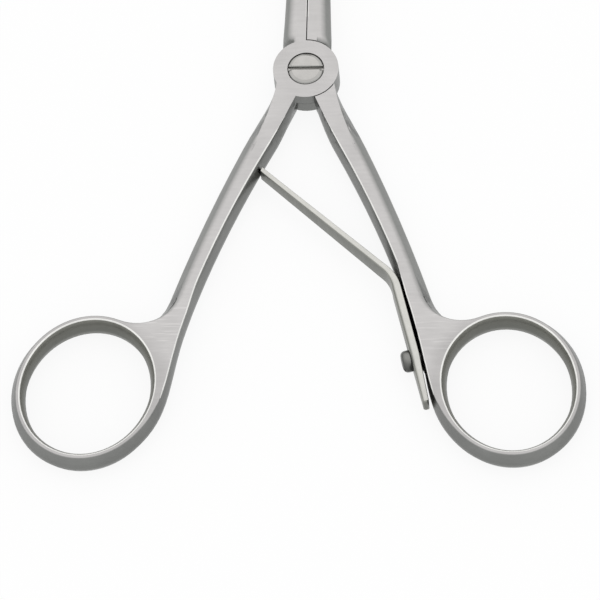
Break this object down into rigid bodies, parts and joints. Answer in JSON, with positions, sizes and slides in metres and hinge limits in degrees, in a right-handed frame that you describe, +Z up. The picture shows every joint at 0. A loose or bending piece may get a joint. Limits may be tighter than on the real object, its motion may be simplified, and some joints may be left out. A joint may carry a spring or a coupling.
{
  "type": "tracheal dilator",
  "caption": "Spring-loaded reverse-action dilator: squeezing the ring handles spreads two slender blades that curve upward.",
  "frame": {"origin": "on the joint's axis, at the flat end of the joint screw, in the plane that the instrument rests on", "axes": "+Z up along the joint's axis, +Y from the ring handles to the blades, +X to the right, the side whose lever carries the spring"},
  "size_m": [0.1116, 0.1322, 0.0277],
  "materials": {
    "right_lever": "satin",
    "left_lever": "satin",
    "joint_screw": "turned, satin",
    "leaf_spring": "ground, satin",
    "spring_screw": "turned, satin"
  },
  "bodies": {
    "right_handle": {"right_lever": "right_lever", "joint_screw": "joint_screw", "spring_screw": "spring_screw"},
    "left_handle": {"left_lever": "left_lever"},
    "spring": {"leaf_spring": "leaf_spring"}
  },
  "joints": [
    {"name": "handle_squeeze", "type": "hinge", "parent": "right_handle", "child": "left_handle", "pos_m": [0, 0, 0], "axis": [0, 0, 1], "range_deg": [0, 26], "stiffness_Nm_per_rad": 0.8, "springref_deg": -4.58},
    {"name": "spring_flex", "type": "hinge", "parent": "right_handle", "child": "spring", "pos_m": [0.0203, -0.0515, 0.00275], "axis": [0, 0, 1], "range_deg": [-20, 0], "deforming": ["leaf_spring"]}
  ],
  "couplings": [
    {"joint": "spring_flex", "follows": "handle_squeeze", "ratio": -0.75}
  ]
}
